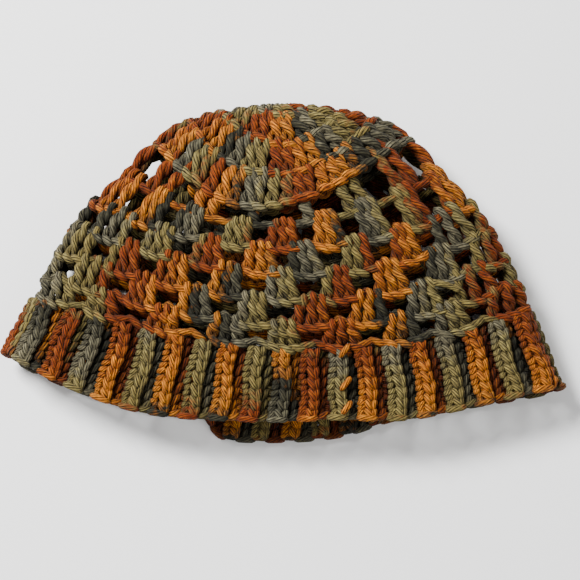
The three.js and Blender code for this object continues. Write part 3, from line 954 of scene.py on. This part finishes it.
def strayed(tree, value, noisy, size):
    """A value that strays by a noise, less its middle 0.5 and times a size."""
    return scaled(tree, link_math(tree, "SUBTRACT", noisy, 0.5), size, value)


def attribute(tree, name):
    """The value of one of the mesh's own attributes."""
    node = tree.nodes.new("ShaderNodeAttribute")
    node.attribute_name = name
    return node.outputs["Fac"]


def noise(tree, vector, settings):
    """Smooth noise over a vector, from 0 to 1."""
    node = tree.nodes.new("ShaderNodeTexNoise")
    set_inputs(node, settings)
    tree.links.new(vector, node.inputs["Vector"])
    return node.outputs["Fac"]


def dye_ramp(tree, phase):
    """The colour of the yarn at a place on the ramp."""
    ramp = tree.nodes.new("ShaderNodeValToRGB")
    stops = ramp.color_ramp.elements
    for stop, (position, color) in zip(stops, (DYES[0], DYES[-1])):
        stop.position = position
        stop.color = (*color, 1)
    for position, color in DYES[1:-1]:
        stops.new(position).color = (*color, 1)
    tree.links.new(phase, ramp.inputs["Fac"])
    return ramp.outputs["Color"]


def strand_relief(tree):
    """The grooves between the plies with fine waves and fibres on them, and the fibres alone. The fibres are
    noise over a point that goes round with the plies, so they follow the lay of the yarn."""
    uv = tree.nodes.new("ShaderNodeUVMap")
    uv.uv_map = "yarn"
    parts = tree.nodes.new("ShaderNodeSeparateXYZ")
    tree.links.new(uv.outputs["UV"], parts.inputs[0])
    lay = link_math(tree, "DIVIDE", parts.outputs["Y"], LAY)
    twist = link_math(tree, "MULTIPLY", link_math(tree, "ADD", parts.outputs["X"], lay), 2 * math.pi)
    ply = link_math(tree, "ABSOLUTE", link_math(tree, "SINE", link_math(tree, "MULTIPLY", twist, PLIES / 2)))
    fine = link_math(tree, "SINE", link_math(tree, "MULTIPLY", twist, PLIES * FINE_WAVES))
    fibre_place = tree.nodes.new("ShaderNodeCombineXYZ")
    tree.links.new(link_math(tree, "COSINE", twist), fibre_place.inputs["X"])
    tree.links.new(link_math(tree, "SINE", twist), fibre_place.inputs["Y"])
    tree.links.new(link_math(tree, "MULTIPLY", parts.outputs["Y"], FIBRE_PACE), fibre_place.inputs["Z"])
    fibres = noise(tree, fibre_place.outputs[0], FIBRES)
    waves = scaled(tree, fine, RELIEF["fine"], link_math(tree, "MULTIPLY", ply, RELIEF["ply"]))
    return strayed(tree, waves, fibres, RELIEF["fibre"]), fibres


def yarn_material(name):
    """Variegated plied yarn. Its brightness is the relief, with painted shade in the grooves between plies,
    made less as painted shade for deep yarn and in soft blotches; its hue wanders a little with the fibres."""
    material = bpy.data.materials.new(name)
    material.use_nodes = True
    tree = material.node_tree
    shader = tree.nodes["Principled BSDF"]
    place = tree.nodes.new("ShaderNodeTexCoord")
    mottle = noise(tree, place.outputs["Object"], MOTTLE)
    relief, fibres = strand_relief(tree)
    phase = link_math(tree, "FRACT", strayed(tree, attribute(tree, "dye"), mottle, DYE_WANDER))
    # painted shade: yarn near the fabric's middle is drawn darker
    depth = tree.nodes.new("ShaderNodeMapRange")
    depth.interpolation_type = "SMOOTHSTEP"
    set_inputs(depth, PAINTED_DEPTH_SHADE)
    tree.links.new(link_math(tree, "ABSOLUTE", attribute(tree, "height")), depth.inputs["Value"])
    # painted shade in the grooves between the plies, and the fibres' random tone
    brightness = scaled(tree, relief, GROOVE_SHADE_AND_FIBRE_TONE["relief"], GROOVE_SHADE_AND_FIBRE_TONE["least"])
    brightness = link_math(tree, "MULTIPLY", brightness, depth.outputs["Result"])
    blotches = scaled(tree, mottle, BLOTCHES["mottle"], BLOTCHES["least"])
    brightness = link_math(tree, "MULTIPLY", brightness, blotches)
    tint = tree.nodes.new("ShaderNodeHueSaturation")
    tree.links.new(dye_ramp(tree, phase), tint.inputs["Color"])
    tree.links.new(brightness, tint.inputs["Value"])
    tree.links.new(strayed(tree, PLAIN_HUE, fibres, HUE_WANDER), tint.inputs["Hue"])
    tree.links.new(tint.outputs["Color"], shader.inputs["Base Color"])
    bump = tree.nodes.new("ShaderNodeBump")
    set_inputs(bump, BUMP)
    tree.links.new(scaled(tree, mottle, MOTTLE_BUMP, relief), bump.inputs["Height"])
    tree.links.new(bump.outputs["Normal"], shader.inputs["Normal"])
    set_inputs(shader, FINISH)
    return material


# %% Dress the pieces
yarn = yarn_material("variegated_yarn")
dressed = [(crown, "crown", "crown_yarn"), (band, "rib_band", "band_yarn")]
dressed += [(piece, f"open_round_{n}", "round_yarn") for n, piece in enumerate(open_rounds, start=1)]
for piece, node, slot in dressed:
    piece.data.materials.append(yarn)
    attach(piece, "root")
    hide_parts(node)
print("Pieces dressed:", len(dressed))
